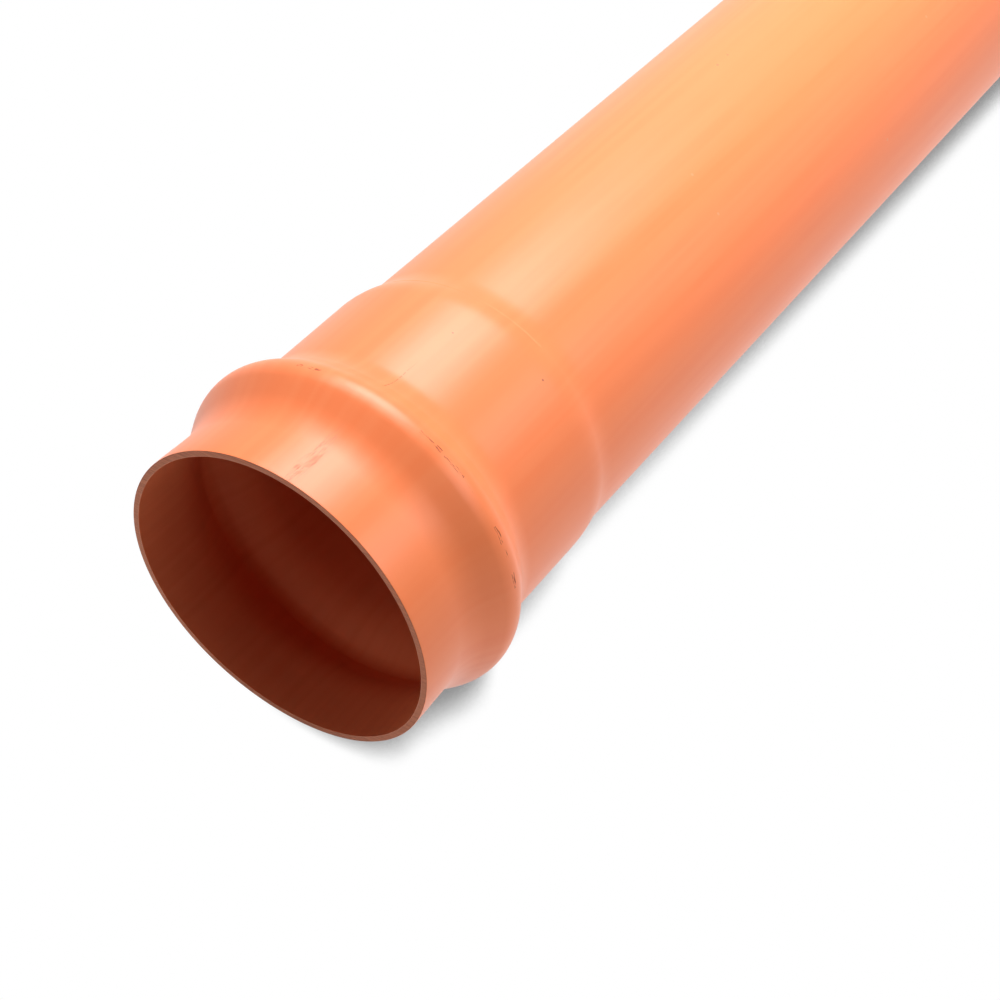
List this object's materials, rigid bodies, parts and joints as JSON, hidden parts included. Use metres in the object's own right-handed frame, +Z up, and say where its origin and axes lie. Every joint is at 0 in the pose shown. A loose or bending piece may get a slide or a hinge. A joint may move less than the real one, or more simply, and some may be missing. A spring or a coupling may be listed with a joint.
{
  "type": "plastic drain pipe with socket",
  "caption": "Terracotta-coloured PVC-U drain pipe, belled at one end into a socket with a groove for a ring seal and chamfered at its plain end.",
  "frame": {"origin": "middle of the underside of the bounding box, on the floor that the pipe lies on", "axes": "+X from the socket towards the plain end, +Z up. The pipe's axis falls by 0.74 degrees towards +X, because the groove's crest props the socket up"},
  "size_m": [1.141, 0.1876, 0.1877],
  "materials": {
    "pvc_u": "extruded, semi-gloss"
  },
  "bodies": {
    "root": {"drain_pipe": "pvc_u"}
  },
  "joints": []
}
